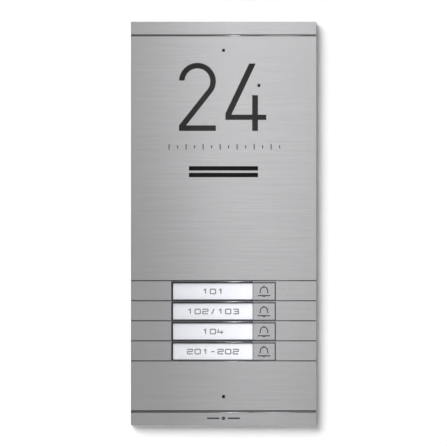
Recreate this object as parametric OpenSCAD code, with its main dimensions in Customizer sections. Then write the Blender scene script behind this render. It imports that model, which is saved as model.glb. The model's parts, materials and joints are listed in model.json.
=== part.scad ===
// Flush-mounted door intercom panel with a house number, a speaker and four call keys.
// X runs to the right, Y into the wall and Z up, in millimetres. The origin is the panel's centre on the
// wall surface: the front plate stands in front of it and the flush box lies behind it.

/* [Front plate] */
// Width of the front plate
plate_w = 170; // [170:1:180]
// Height of the front plate
plate_h = 370; // [370:1:380]
// Distance from the front face to the wall
rim_d = 9; // [9:0.5:10]
// Sheet thickness of the front face
face_t = 2.5; // [2:0.1:2.5]
// Sheet thickness of the folded rim
rim_t = 2; // [1.5:0.1:2]
// Width of the groove near the top edge
top_groove_w = 1.8; // [1.5:0.1:2.5]
// Width of the groove near the bottom edge
bottom_groove_w = 2.4; // [1.5:0.1:2.5]
// Distance from the plate's end to each of those grooves
edge_groove_in = 12.5; // [11:0.1:13]
// Width of the fine grooves beside the call rows
row_groove_w = 1.1; // [0.8:0.1:1.3]
// Side of the three small square openings
port_w = 2.75; // [2.5:0.05:3]
// Distance from the plate's end to the sensor and the microphone
port_in = 26.2; // [25.5:0.1:26.5]

/* [House number] */
// Width of the strokes
stroke_w = 5.1; // [4.5:0.1:5.5]
// Height of the digits
digit_h = 62.4; // [60:0.1:63]
// Height of the digits' foot above the plate's centre
digit_z = 84.9; // [84:0.1:86]

/* [Speaker] */
// Width of each sound slot
slot_w = 63.3; // [55:0.1:64]
// Height of each sound slot
slot_h = 4; // [3:0.1:4.5]
// Distance between the two slots
slot_pitch = 6.1; // [5.5:0.1:6.5]
// Height of the speaker's centre above the plate's centre
speaker_z = 47.5; // [47:0.1:48]

/* [Call rows] */
// Distance between rows
row_pitch = 18.4; // [18.2:0.1:18.6]
// Height of the middle of the rows
call_z = -89.2; // [-90:0.1:-88.5]
// Width of a label window
lens_w = 73.2; // [70:0.1:73.2]
// Width of a key
key_w = 19.8; // [18:0.1:19.8]
// How far a key goes in
key_travel = 0.9; // [0.5:0.1:0.9]

/* [Flush box] */
// Width of the flush box
box_w = 150; // [148:1:150]
// Height of the flush box
box_h = 350; // [348:1:350]
// Depth of the flush box behind the wall surface
box_d = 44; // [44:1:60]
// Sheet thickness of the flush box
box_t = 1.5; // [1:0.1:1.5]
// Distance between the wall screws, across
wall_screw_x = 100; // [90:1:110]
// Distance between the wall screws, up
wall_screw_z = 260; // [240:1:280]
// Diameter of the cable that the grommet takes
cable_d = 10; // [6:1:12]

/* [Hidden] */

$fn = 64;
cut = 1;                                  // how far a cutting shape runs past a face
face_y = -rim_d;                          // front face
back_y = face_y + face_t;                 // rear of the front sheet
board_t = 1.6;                            // every circuit board
port_fit = 0.1;                           // gap round a square pin in its opening
port_z = plate_h / 2 - port_in;

// Grooves across the front plate, as half-round channels
function groove_r(w, d) = (w * w / 4 + d * d) / (2 * d);
edge_groove_d = 0.85;
row_groove_d = 0.5;
edge_groove_z = plate_h / 2 - edge_groove_in;

// Digits: the 2 is a ring with a tangent diagonal, the 4 is open at the top
digit_fit = 0.12;
two_x = -40.8;
two_w = 33.8;
two_end_rise = 0.7;
four_x = 1.7;
four_w = 37.5;
four_bar_z = 10.1;
four_post_x = 24.6;
four_post_h = 32.8;
four_top_x = 24.9;
four_foot_x = 0.3;

// Row of engraved ticks under the digits, and the maker's mark at the bottom
tick_count = 14;
tick_pitch = 7.8;
tick_x = 0.8;
tick_z = 70.3;
tick_h = 5;
tick_w = 0.9;
tick_short = 0.55;                        // the shorter ticks' share of the height
mark_dot_r = 1.6;
mark_dash = [11, 1.5];
mark_dash_x = 9.5;
bell_line = 0.95;
engrave_d = 0.25;
mark_z = -plate_h / 2 + 6.4;

// Number light unit behind the plate
insert_w = 95;
insert_h = 75;
insert_t = 3;
number_z = digit_z + digit_h / 2 + 0.4;
light_box_w = 96;
light_box_h = 76;
light_box_wall = 2;
light_box_back = 7;
number_board_y = light_box_back - light_box_wall - board_t;
led_h = 1.4;
led_w = 5;
number_led_pitch = 24;
number_led_rise = 22;
row_led_pitch = 23;
status_led_w = 3.2;
status_x = 32.5;
status_z = plate_h / 2 - 58.4;

// Speaker unit
mesh_t = 0.4;
gasket_t = 2;
flange_r = 31;
flange_t = 1.2;
speaker_front_y = back_y + mesh_t + gasket_t;
bracket_y = speaker_front_y + flange_t;
bracket_t = 2;
bracket_w = 112;
bracket_h = 60;
seat_y = bracket_y + bracket_t;           // where nuts and standoffs sit
magnet_y = 9.8;

// Call unit, from the front to the rear
row_count = 4;
opening_w = 96.4;
opening_h = row_count * row_pitch;
bezel_gap = 0.3;
bezel_flange_t = 1.2;
bezel_top = 1.6;                          // from a row line down to the window
bezel_bottom = 0.65;                      // from a row line up to the window above
left_bar_drop = 1.3;                      // the bar left of the windows lies this far below the face
right_bar_drop = 0.4;
strip_groove_w = 2.1;                     // the wider groove above each label window
strip_groove_d = 0.75;
strip_groove_drop = 0.52;
window_x0 = -46.7;
window_x1 = 47.3;
lens_x = -9.7;
lens_h = row_pitch - 3.5;
lens_drop = 0.75;                         // the window sits this far below the row's middle
lens_y = face_y + 0.5;
lens_t = 1.5;
card_t = 0.3;
guide_y = lens_y + lens_t + card_t;
guide_t = 5;
key_x = 37.1;
key_h = row_pitch - 3.4;
key_drop = 0.72;
cap_t = 1;
stem_block_t = 4.2;
stem_r = 3;
nib_r = 1.5;
stem_back_y = face_y + cap_t + stem_block_t;
housing_y = back_y + bezel_flange_t;
housing_w = 104;
housing_h = opening_h + 5.4;
call_board_y = 8;
call_board_w = 96;
call_board_h = opening_h + 0.4;
spring_r = 4;
spring_wire_r = 0.35;
spring_floor_y = 0.6;
switch_y = 4.5;
switch_w = 6;

// Main board, on standoffs behind the speaker
main_board_y = 26;
main_board_w = 124;
main_board_z0 = -59;
main_board_z1 = 31;
terminal_count = 8;
terminal_pitch = 5;
terminal_x = -34;
terminal_z = -50;
terminal_d = 12;
trimmer_z = -50;
trimmer_xs = [22, 36];

// Fixing points on the welded studs, as heights and a distance to each side
number_stud_z = [number_z - 28, number_z + 28];
speaker_stud_z = [speaker_z - 22, speaker_z + 22];
call_stud_z = [call_z - 35.2, call_z + 35.2];
number_stud_x = 53;
speaker_stud_x = 50;
call_stud_x = 56;
board_points = [[speaker_stud_x, speaker_stud_z[0]], [call_stud_x, call_stud_z[1]]];
stud_r = 1.5;
stud_end_y = 3;
nut_t = 2.4;

// Mounting frame, hooks, screws and grommet
frame_t = 1.5;
frame_w = 157;
frame_h = 357;
frame_screw_x = 64;
frame_screw_z = 165;
hook_x = 35;
hook_z = 166;
lock_x = 40;
lock_y = -4.2;
lock_r = 2;
lip_x = 60;
gasket_w = 4;
grommet_y = 22;
grommet_hole_r = 11;
grommet_flange_r = 14;
knockout_r = 10;
knockouts_x = [-45, 45];                  // in the top and bottom walls
knockouts_z = [-100, 0, 100];             // in the side walls
knockouts_rear = [-60, 60];
bead_x = 24;                              // pressed stiffening beads in the box's rear wall
bead_w = 9;
bead_d = 0.7;
bead_end = 145;

// Leads: each route is a list of points chosen by hand
speaker_route = [[0, 9.4, 28], [0, 11, 28], [0, 12.6, 28], [2.5, 16, 26.5], [7, 19.5, 22.5], [12, 22, 17.5],
    [17, 23, 14.2], [21, 23, 13.2], [24, 23, 13], [26, 23, 13], [28, 23, 13]];
mic_route = [[0, 2.6, -158.8], [0, 4.4, -158.8], [0, 6.2, -158.8], [-1.5, 10, -156.5], [-5, 12.6, -151],
    [-10, 13.5, -143], [-16, 13.8, -131], [-22, 13.8, -117], [-27, 13.8, -102], [-30, 14, -88],
    [-31.4, 14.6, -76], [-32, 16.5, -68], [-32, 20, -62.5], [-32, 22.5, -58], [-32, 22.8, -56],
    [-32, 22.8, -54.5], [-32, 22.8, -53]];
lead_r = 1.2;

function row_z(i) = call_z + (row_count / 2 - i + 0.5) * row_pitch;   // i counts from 1 at the top
function line_z(i) = call_z + (row_count / 2 - i) * row_pitch;        // i counts from 0 at the top

// ---- shapes that repeat ----

// A box centred on (x, z), from y0 to y1
module slab(x, z, w, h, y0, y1) {
    translate([x - w / 2, y0, z - h / 2]) cube([w, y1 - y0, h]);
}

// A cylinder along Y centred on (x, z), from y0 to y1
module rod(x, z, r, y0, y1, sides = 64) {
    translate([x, y0, z]) rotate([-90, 0, 0]) cylinder(r = r, h = y1 - y0, $fn = sides);
}

// A flat shape drawn in X and Z, pushed out from y0 to y1
module pushed(y0, y1) {
    translate([0, y1, 0]) rotate([90, 0, 0]) linear_extrude(y1 - y0) children();
}

// A profile of [radius, y] points turned about the Y axis through (x, z)
module turned(x, z, points) {
    translate([x, 0, z]) rotate([-90, 0, 0]) rotate_extrude($fn = 96) polygon(points);
}

// A flat bar of width w from point a to point b
module bar(a, b, w) {
    d = b - a;
    translate(a) rotate(atan2(d[1], d[0])) translate([0, -w / 2]) square([norm(d), w]);
}

// Places children at each fixing point of one unit
module at_studs(x, zs) {
    for (sx = [-x, x], z = zs) translate([sx, 0, z]) children();
}

// A half-round channel in the front face, right across it unless its ends are given
module groove(z, w, d, x0 = -plate_w / 2 - cut, x1 = plate_w / 2 + cut) {
    r = groove_r(w, d);
    translate([x0, face_y + d - r, z]) rotate([0, 90, 0]) cylinder(r = r, h = x1 - x0, $fn = 48);
}

function unit(v) = v / norm(v);
function heading(p, i) = unit(p[min(i + 1, len(p) - 1)] - p[max(i - 1, 0)]);
function ring(c, t, ref, r, n) =
    let (a = unit(cross(t, ref)), b = cross(t, a))
    [for (k = [0:n - 1]) c + r * (cos(360 * k / n) * a + sin(360 * k / n) * b)];

// A closed tube of radius r along a list of points; ref is a direction that the path never takes
module tube(path, r, ref, n = 8) {
    last = len(path) - 1;
    points = [for (i = [0:last]) each ring(path[i], heading(path, i), ref, r, n)];
    sides = [for (i = [0:last - 1], k = [0:n - 1]) let (m = (k + 1) % n)
        each [[i * n + k, (i + 1) * n + k, i * n + m], [i * n + m, (i + 1) * n + k, (i + 1) * n + m]]];
    caps = [[for (k = [0:n - 1]) k], [for (k = [n - 1:-1:0]) last * n + k]];
    polyhedron(points, concat(sides, caps));
}

// Points of a smooth curve through the route's points, with the given number of steps between each two
function curve_point(a, b, c, d, t) =
    0.5 * (2 * b + (c - a) * t + (2 * a - 5 * b + 4 * c - d) * t * t + (3 * b - a - 3 * c + d) * t * t * t);
function smooth(p, steps) = concat(
    [for (i = [0:len(p) - 2], s = [0:steps - 1])
        curve_point(p[max(i - 1, 0)], p[i], p[i + 1], p[min(i + 2, len(p) - 1)], s / steps)],
    [p[len(p) - 1]]);

// ---- the house number ----

// Both digits stand on the origin; g shrinks every stroke by that much on each side
function arc(c, r, from, to, steps) =
    [for (k = [0:steps]) let (a = from + (to - from) * k / steps) c + r * [cos(a), sin(a)]];

module digit_two(g = 0) {
    r = two_w / 2;
    c = [r, digit_h - r];
    outer = r - g;
    inner = r - stroke_w + g;
    height = c[1] - stroke_w;
    lean = acos((r - stroke_w) / norm([height, r])) - atan2(r, height);
    across = [sin(lean), -cos(lean)];
    down = [-cos(lean), -sin(lean)];
    end_z = two_end_rise + g;
    low = c + outer * across;
    high = c + inner * across;
    foot = low + down * (low[1] - stroke_w + g) / sin(lean);
    heel = high + down * (high[0] - g) / cos(lean);
    polygon(concat(
        arc(c, outer, 180 - asin(end_z / outer), lean - 90, 72),
        [foot, [two_w - g, stroke_w - g], [two_w - g, g], [g, g], heel],
        arc(c, inner, lean - 90, 180 - asin(end_z / inner), 72)));
}

module digit_four(g = 0) {
    top = digit_h - 0.6;
    lean_w = stroke_w + 0.4;
    intersection() {
        translate([g, g]) square([four_w - 2 * g, top - 2 * g]);
        union() {
            translate([0, four_bar_z + g]) square([four_w, stroke_w - 0.3 - 2 * g]);
            translate([four_post_x + g, 0]) square([stroke_w + 0.2 - 2 * g, four_post_h - g]);
            intersection() {
                translate([0, four_bar_z + g]) square([four_w, top]);
                bar([four_foot_x - 1, four_bar_z - 2], [four_top_x + 0.9, top + 2], lean_w - 2 * g);
            }
        }
    }
}

module digits(g = 0) {
    translate([two_x, digit_z]) digit_two(g);
    translate([four_x, digit_z]) digit_four(g);
}

// ---- front plate ----

// Short engraved ticks under the house number, every second one shorter
module tick_row() {
    for (i = [0:tick_count - 1]) {
        x = tick_x + (i - (tick_count - 1) / 2) * tick_pitch;
        h = i % 2 == 0 ? tick_h : tick_h * tick_short;
        slab(x, tick_z, tick_w, h, face_y - cut, face_y + engrave_d);
    }
}

// A plain mark: a dot between two dashes
module plain_mark() {
    rod(0, mark_z, mark_dot_r, face_y - cut, face_y + engrave_d);
    for (x = [-mark_dash_x, mark_dash_x])
        slab(x, mark_z, mark_dash[0], mark_dash[1], face_y - cut, face_y + engrave_d);
}

module front_plate() {
    color("silver") difference() {
        slab(0, 0, plate_w, plate_h, face_y, 0);
        slab(0, 0, plate_w - 2 * rim_t, plate_h - 2 * rim_t, back_y, cut);
        groove(edge_groove_z, top_groove_w, edge_groove_d);
        groove(-edge_groove_z, bottom_groove_w, edge_groove_d);
        for (i = [0:row_count]) groove(line_z(i), row_groove_w, row_groove_d);
        pushed(face_y - cut, back_y + cut) digits();
        for (s = [-0.5, 0.5])
            slab(0, speaker_z + s * slot_pitch, slot_w, slot_h, face_y - cut, back_y + cut);
        slab(0, call_z, opening_w, opening_h, face_y - cut, back_y + cut);
        for (p = [[0, port_z], [0, -port_z], [status_x, status_z]])
            slab(p[0], p[1], port_w, port_w, face_y - cut, back_y + cut);
        tick_row();
        plain_mark();
        for (x = [-lock_x, lock_x]) translate([x, lock_y, -plate_h / 2 - cut])
            cylinder(r = lock_r + 0.05, h = rim_t + 2 * cut);
    }
}

// Two hooks, welded behind the top edge, that hang the plate on the mounting frame
module plate_hooks() {
    color("gainsboro") for (x = [-hook_x, hook_x]) {
        slab(x, hook_z + 5.5, 10, 11, back_y, back_y + 1.5);
        slab(x, hook_z + 1, 10, 2, back_y + 1.5, 1.8);
        slab(x, hook_z - 1.75, 10, 7.5, 0.3, 1.8);
    }
}

module weld_studs() {
    color("gainsboro") {
        at_studs(number_stud_x, number_stud_z) rod(0, 0, stud_r, back_y, stud_end_y);
        at_studs(speaker_stud_x, speaker_stud_z) rod(0, 0, stud_r, back_y, stud_end_y);
        at_studs(call_stud_x, call_stud_z) rod(0, 0, stud_r, back_y, stud_end_y);
    }
}

// A hexagon nut with its front at y
module nut(y) {
    difference() {
        rod(0, 0, 3.15, y, y + nut_t, 6);
        rod(0, 0, stud_r + 0.05, y - cut, y + nut_t + cut);
    }
}

module stud_nuts() {
    lug_y = back_y + insert_t + light_box_wall;
    color("goldenrod") {
        at_studs(number_stud_x, number_stud_z) nut(lug_y);
        at_studs(speaker_stud_x, [speaker_stud_z[1]]) nut(seat_y);
        at_studs(call_stud_x, [call_stud_z[0]]) nut(seat_y);
        at_studs(speaker_stud_x, [speaker_stud_z[0]]) nut(main_board_y + board_t);
        at_studs(call_stud_x, [call_stud_z[1]]) nut(main_board_y + board_t);
    }
}

// Grub screws with a hexagon socket, through the lower rim into the mounting frame
module lock_screws() {
    z0 = -plate_h / 2 + 0.2;
    color("dimgray") for (x = [-lock_x, lock_x]) translate([x, lock_y, z0]) difference() {
        cylinder(r = lock_r, h = 8.4);
        translate([0, 0, -cut]) cylinder(r = 1.15, h = 2.5 + cut, $fn = 6);
    }
}

// Foam ring inside the rim, pressed against the wall
module sealing_gasket() {
    w = plate_w - 2 * rim_t;
    h = plate_h - 2 * rim_t;
    color("dimgray") difference() {
        slab(0, 0, w, h, back_y, 0);
        slab(0, 0, w - 2 * gasket_w, h - 2 * gasket_w, back_y - cut, cut);
        for (x = [-lock_x, lock_x]) translate([x, lock_y, -h / 2 - cut])
            cylinder(r = lock_r + 0.2, h = gasket_w + 2 * cut);
    }
}

// ---- number light unit ----

// Smoked acrylic sheet whose raised digits fill the cut-outs in the plate
module number_insert() {
    color("#2b2b2b") difference() {
        union() {
            slab(0, number_z, insert_w, insert_h, back_y, back_y + insert_t);
            pushed(face_y + 0.2, back_y + cut) digits(digit_fit);
        }
        slab(status_x, status_z, port_w + 0.3, port_w + 0.3, face_y, back_y + insert_t + cut);
    }
}

// White open tray that holds the light board
module number_light_box() {
    y0 = back_y + insert_t;
    color("white") {
        difference() {
            union() {
                slab(0, number_z, light_box_w, light_box_h, y0, light_box_back);
                at_studs(number_stud_x - 0.5, number_stud_z) slab(0, 0, 11, 10, y0, y0 + light_box_wall);
            }
            slab(0, number_z, light_box_w - 2 * light_box_wall, light_box_h - 2 * light_box_wall,
                y0 - cut, light_box_back - light_box_wall);
            at_studs(number_stud_x, number_stud_z)
                rod(0, 0, stud_r + 0.2, y0 - cut, y0 + light_box_wall + cut);
        }
    }
}

module number_light_board() {
    w = light_box_w - 2 * light_box_wall - 1;
    h = light_box_h - 2 * light_box_wall - 1;
    color("darkgreen") slab(0, number_z, w, h, number_board_y, number_board_y + board_t);
}

module status_light_pipe() {
    w = port_w - 2 * port_fit;
    color("dimgray") slab(status_x, status_z, w, w, face_y + 0.2, number_board_y - led_h);
}

// Daylight sensor: a square pin in its opening on a round body
module light_sensor() {
    w = port_w - 2 * port_fit;
    color("dimgray") {
        slab(0, port_z, w, w, face_y + 0.2, back_y);
        rod(0, port_z, 4, back_y, back_y + 3.5);
    }
}

// Light-emitting diodes of the number board and the call board
module leds() {
    front = number_board_y - led_h;
    color("lightyellow") {
        for (i = [-1.5:1.5], j = [-1:1]) {
            x = i * number_led_pitch;
            z = number_z + j * number_led_rise;
            if (norm([x - status_x, z - status_z]) > led_w + 1) slab(x, z, led_w, led_w, front, number_board_y);
        }
        slab(status_x, status_z, status_led_w, status_led_w, front, number_board_y);
        for (i = [1:row_count], j = [-1:1]) {
            z = row_z(i) - lens_drop;
            slab(lens_x + j * row_led_pitch, z, led_w, led_w, call_board_y - led_h, call_board_y);
        }
    }
}

// ---- speaker and microphone ----

module speaker_mesh() {
    color("#1c1c1c") slab(0, speaker_z, 76, 22, back_y, back_y + mesh_t);
}

module speaker_gasket() {
    y0 = back_y + mesh_t;
    y1 = y0 + gasket_t;
    color("#303030") turned(0, speaker_z, [[27, y0], [flange_r, y0], [flange_r, y1], [27, y1]]);
}

// Pressed steel basket with four windows and a tab for the lead
module speaker_basket() {
    y0 = speaker_front_y;
    y1 = y0 + flange_t;
    color("lightslategray") difference() {
        union() {
            turned(0, speaker_z, [[26.5, y0], [flange_r, y0], [flange_r, y1], [28, y1], [17.4, 8.4],
                [17.4, magnet_y], [9.4, magnet_y], [9.4, 8.4], [16, 8.4], [26.5, y1]]);
            slab(0, speaker_z - 19.5, 8, 5, 8.4, 9.4);
        }
        for (a = [45:90:315]) translate([0, 0, speaker_z]) rotate([0, a, 0])
            translate([-6, -1.5, 15]) cube([12, 8, 16]);
    }
}

// Paper cone with its dust cap and voice-coil tube
module speaker_cone() {
    y0 = speaker_front_y + 0.2;
    y1 = y0 + 0.5;
    color("#26221f") turned(0, speaker_z, [[0, 2.2], [5, 2.7], [8.6, 3.9], [24.6, y0], [26.3, y0], [26.3, y1],
        [24.9, y1], [9, 4.6], [9, 7.4], [8.2, 7.4], [8.2, 4.4], [4.8, 3.2], [0, 2.7]]);
}

module speaker_magnet() {
    color("#404040") {
        rod(0, speaker_z, 16, magnet_y, magnet_y + 6, 96);
        rod(0, speaker_z, 14, magnet_y + 6, magnet_y + 8.2, 96);
    }
}

// Plastic bracket that clamps the speaker's flange
module speaker_bracket() {
    color("#222222") difference() {
        union() {
            slab(0, speaker_z, bracket_w, bracket_h, bracket_y, seat_y);
            at_studs(speaker_stud_x, speaker_stud_z) rod(0, 0, 4, back_y, bracket_y + cut);
        }
        rod(0, speaker_z, 28.6, bracket_y - cut, seat_y + cut, 96);
        at_studs(speaker_stud_x, speaker_stud_z) rod(0, 0, stud_r + 0.15, back_y - cut, seat_y + cut);
    }
}

// Rubber boot with a sound channel and a seat for the microphone capsule
module mic_boot() {
    color("#1e1e1e") difference() {
        rod(0, -port_z, 6.5, back_y, 0.5);
        rod(0, -port_z, 1.3, back_y - cut, 0);
        rod(0, -port_z, 4.9, back_y + 2, 0.5 + cut);
    }
}

module mic_capsule() {
    color("gainsboro") {
        rod(0, -port_z, 4.85, back_y + 2, 0.5);
        for (x = [-1.27, 1.27]) rod(x, -port_z, 0.4, 0.5, 2.6, 24);
    }
}

// ---- call unit ----

// One frame for all rows; its bars carry the fine grooves on from the plate
module call_bezel() {
    w = opening_w - 2 * bezel_gap;
    h = opening_h - bezel_gap;
    window_h = row_pitch - bezel_top - bezel_bottom;
    window_z = (bezel_bottom - bezel_top) / 2;
    color("gray") difference() {
        union() {
            slab(0, call_z, w, h, face_y, back_y);
            slab(0, call_z, opening_w + 5, opening_h + 4, back_y, housing_y);
        }
        for (i = [1:row_count])
            slab((window_x0 + window_x1) / 2, row_z(i) + window_z, window_x1 - window_x0, window_h,
                face_y - cut, housing_y + cut);
        for (i = [0:row_count]) groove(line_z(i), row_groove_w, row_groove_d);
        for (i = [1:row_count]) {
            strip_z = line_z(i - 1) - strip_groove_drop;
            groove(strip_z, strip_groove_w, strip_groove_d, -w, lens_x + lens_w / 2);
            slab(window_x0 - 1, row_z(i) + window_z, 2, window_h, face_y - cut, face_y + left_bar_drop);
            slab(window_x1 + 1, row_z(i) + window_z, 2, window_h, face_y - cut, face_y + right_bar_drop);
        }
    }
}

// Black moulding with a light well and a key guide for each row, lugs and board clips
module call_housing() {
    color("#1a1a1a") difference() {
        union() {
            slab(0, call_z, housing_w, housing_h, housing_y, call_board_y);
            at_studs(call_stud_x, call_stud_z) {
                slab(0, 0, 10, 9, back_y, seat_y);
            }
            for (s = [-1, 1], z = [call_z - 25, call_z + 25]) {
                slab(s * 49.6, z, 2.4, 8, call_board_y - cut, call_board_y + 1.8);
                slab(s * 49, z, 3.6, 8, call_board_y + 1.8, call_board_y + 3);
            }
        }
        for (i = [1:row_count]) {
            z = row_z(i);
            slab(lens_x, z - lens_drop, lens_w + 0.2, lens_h + 0.2, housing_y - cut, guide_y + guide_t);
            slab(lens_x, z - lens_drop, lens_w - 3, lens_h - 3, guide_y, call_board_y + cut);
            slab(key_x, z - key_drop, key_w + 0.6, key_h + 0.2, housing_y - cut,
                stem_back_y + key_travel + 0.3);
            rod(key_x, z - key_drop, stem_r + 0.05, face_y, call_board_y + cut);
            rod(key_x, z - key_drop, spring_r + 0.4, face_y, spring_floor_y);
            slab(key_x, z - key_drop, switch_w + 0.6, switch_w + 0.6, switch_y - 0.4, call_board_y + cut);
        }
        at_studs(call_stud_x, call_stud_z) rod(0, 0, stud_r + 0.15, back_y - cut, seat_y + cut);
    }
}

module call_board() {
    color("darkgreen") slab(0, call_z, call_board_w, call_board_h, call_board_y, call_board_y + board_t);
}

// Square push switches on the call board, each with a well for the key's nib
module tact_switches() {
    color("#333333") for (i = [1:row_count]) difference() {
        slab(key_x, row_z(i) - key_drop, switch_w, switch_w, switch_y, call_board_y);
        rod(key_x, row_z(i) - key_drop, nib_r + 0.2, switch_y - cut, switch_y + 2.4);
    }
}

// Opal blocks that spread the light behind the labels
module light_guides() {
    color("ivory") for (i = [1:row_count])
        slab(lens_x, row_z(i) - lens_drop, lens_w - 0.2, lens_h - 0.2, guide_y, guide_y + guide_t);
}

module label_lens(i) {
    color("aliceblue", 0.5) slab(lens_x, row_z(i) - lens_drop, lens_w, lens_h, lens_y, lens_y + lens_t);
}

module label_card(i) {
    color("white") slab(lens_x, row_z(i) - lens_drop, lens_w - 0.6, lens_h - 0.6, lens_y + lens_t, guide_y);
}

// Bell drawn about the key's middle: dome, rim line, knob and clapper
module bell(line) {
    dome_r = 3.7;
    dome_z = 0.9;
    foot_z = -1.65;
    rim_z = -3.85;
    difference() {
        translate([0, dome_z]) circle(r = dome_r, $fn = 48);
        translate([0, dome_z]) circle(r = dome_r - line, $fn = 48);
        translate([-2 * dome_r, dome_z - 2 * dome_r]) square([4 * dome_r, 2 * dome_r]);
    }
    foot_r = dome_r + 0.4;
    for (s = [-1, 1])
        polygon([[s * (dome_r - line), dome_z + 0.01], [s * dome_r, dome_z + 0.01], [s * foot_r, foot_z],
            [s * (foot_r - line), foot_z]]);
    translate([0, dome_z + dome_r]) circle(r = 0.7, $fn = 24);
    translate([-5.8, rim_z - line / 2]) square([11.6, line]);
    polygon([[-1.7, rim_z], [1.7, rim_z], [0.9, rim_z - 1.2], [-0.9, rim_z - 1.2]]);
}

// Brushed steel cap with the bell engraved in it
module key_cap(i) {
    color("silver") difference() {
        slab(key_x, row_z(i) - key_drop, key_w, key_h, face_y, face_y + cap_t);
        translate([key_x, 0, row_z(i) - key_drop]) pushed(face_y - cut, face_y + engrave_d) bell(bell_line);
    }
}

// Plastic carrier behind the cap, with its guide stem and the nib that works the switch
module key_stem(i) {
    z = row_z(i) - key_drop;
    color("#3a3a3a") {
        slab(key_x, z, key_w - 0.6, key_h - 0.6, face_y + cap_t, stem_back_y);
        rod(key_x, z, stem_r, stem_back_y, switch_y - key_travel - 0.2);
        rod(key_x, z, nib_r, switch_y - key_travel - 0.2, switch_y + 1.3);
    }
}

// Wire spring round the stem
module key_spring(i) {
    turns = 4;
    steps = 14;
    z = row_z(i) - key_drop;
    length = spring_floor_y - stem_back_y - 2 * spring_wire_r;
    mid_r = spring_r - spring_wire_r;
    rise = length / (turns * steps);
    y0 = stem_back_y + spring_wire_r;
    helix = [for (k = [0:turns * steps]) let (a = 360 * k / steps)
        [key_x + mid_r * cos(a), y0 + rise * k, z + mid_r * sin(a)]];
    color("gainsboro") tube(helix, spring_wire_r, [0, 1, 0], 6);
}

// ---- main board ----

module main_board() {
    z = (main_board_z0 + main_board_z1) / 2;
    color("darkgreen") difference() {
        slab(0, z, main_board_w, main_board_z1 - main_board_z0, main_board_y, main_board_y + board_t);
        for (p = board_points, s = [-1, 1])
            rod(s * p[0], p[1], stud_r + 0.15, main_board_y - cut, main_board_y + board_t + cut);
    }
}

// Hexagon standoffs: a blind bore takes the welded stud, a pin goes through the board
module board_standoffs() {
    color("goldenrod") for (p = board_points, s = [-1, 1])
        difference() {
            union() {
                rod(s * p[0], p[1], 3, seat_y, main_board_y, 6);
                rod(s * p[0], p[1], stud_r, main_board_y - cut, main_board_y + board_t + nut_t + 0.8);
            }
            rod(s * p[0], p[1], stud_r + 0.05, seat_y - cut, stud_end_y + 1);
        }
}

// Relay, capacitors, chips and plug headers
module board_components() {
    front = main_board_y;
    rear = main_board_y + board_t;
    color("#2a3b6b") slab(-40, -18, 19, 15.5, front - 15.3, front);
    color("#20242b") {
        for (x = [-8, 4, 16]) rod(x, 8, 4, front - 12, front);
        slab(8, -16, 14, 14, front - 1.5, front);
        slab(-18, -30, 10, 6, front - 1.8, front);
        slab(30, -4, 9, 9, rear, rear + 1.6);
    }
    color("ivory") {
        slab(33, 13, 10, 8, front - 6, front);
        slab(-32, -49, 9, 8, front - 6, front);
        slab(36, -49, 16, 6, front - 6, front);
    }
}

// Row of screw terminals; the wires go in from below
module terminal_block() {
    y0 = main_board_y + board_t;
    color("seagreen") difference() {
        translate([terminal_x, y0, terminal_z - 5]) cube([terminal_count * terminal_pitch, terminal_d, 10]);
        for (i = [0:terminal_count - 1]) {
            x = terminal_x + (i + 0.5) * terminal_pitch;
            translate([x - 1.5, y0 + 2, terminal_z - 5 - cut]) cube([3, 3.6, 6 + cut]);
            rod(x, terminal_z, 1.85, y0 + terminal_d - 4, y0 + terminal_d + cut, 32);
        }
    }
}

module terminal_screws() {
    y1 = main_board_y + board_t + terminal_d - 0.8;
    color("gainsboro") for (i = [0:terminal_count - 1]) {
        x = terminal_x + (i + 0.5) * terminal_pitch;
        difference() {
            rod(x, terminal_z, 1.75, y1 - 3, y1, 32);
            slab(x, terminal_z, 4, 0.6, y1 - 0.7, y1 + cut);
        }
    }
}

module trimmer_housings() {
    y0 = main_board_y + board_t;
    color("#2c5aa0") for (x = trimmer_xs) difference() {
        slab(x, trimmer_z, 7, 7, y0, y0 + 4);
        rod(x, trimmer_z, 2.55, y0 + 2, y0 + 4 + cut);
    }
}

// Slotted rotor of one volume trimmer
module trimmer_rotor(x) {
    y0 = main_board_y + board_t;
    color("white") difference() {
        rod(x, trimmer_z, 2.5, y0 + 2.05, y0 + 4.4);
        slab(x, trimmer_z, 4, 0.7, y0 + 3.6, y0 + 4.4 + cut);
    }
}

// ---- leads ----

module speaker_lead() {
    color("#b02a2a") tube(smooth(speaker_route, 2), lead_r, [0.3, 0.2, -1]);
}

module mic_lead() {
    color("#303030") tube(smooth(mic_route, 2), lead_r, [1, 0, 0]);
}

// Flat ribbon from the call board up to the main board, with a plug at each end
module call_ribbon() {
    plug_y = call_board_y + board_t;
    run_y = plug_y + 7;
    end_y = main_board_y - 7;
    half_t = 0.45;
    route = [[plug_y + 3, -66.5], [run_y, -64.5], [run_y + 1, -61], [end_y, -56], [end_y + 3, -53.5]];
    color("lightgray") translate([30, 0, 0]) rotate([90, 0, 90]) linear_extrude(12) {
        for (i = [0:len(route) - 2]) bar(route[i], route[i + 1], 2 * half_t);
        for (p = route) translate(p) circle(r = half_t, $fn = 16);
    }
    color("ivory") {
        slab(36, -68, 16, 6, plug_y, plug_y + 4);
        slab(36, -53, 16, 2, main_board_y - 5.5, main_board_y - 0.5);
    }
}

// ---- wall parts ----

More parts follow.
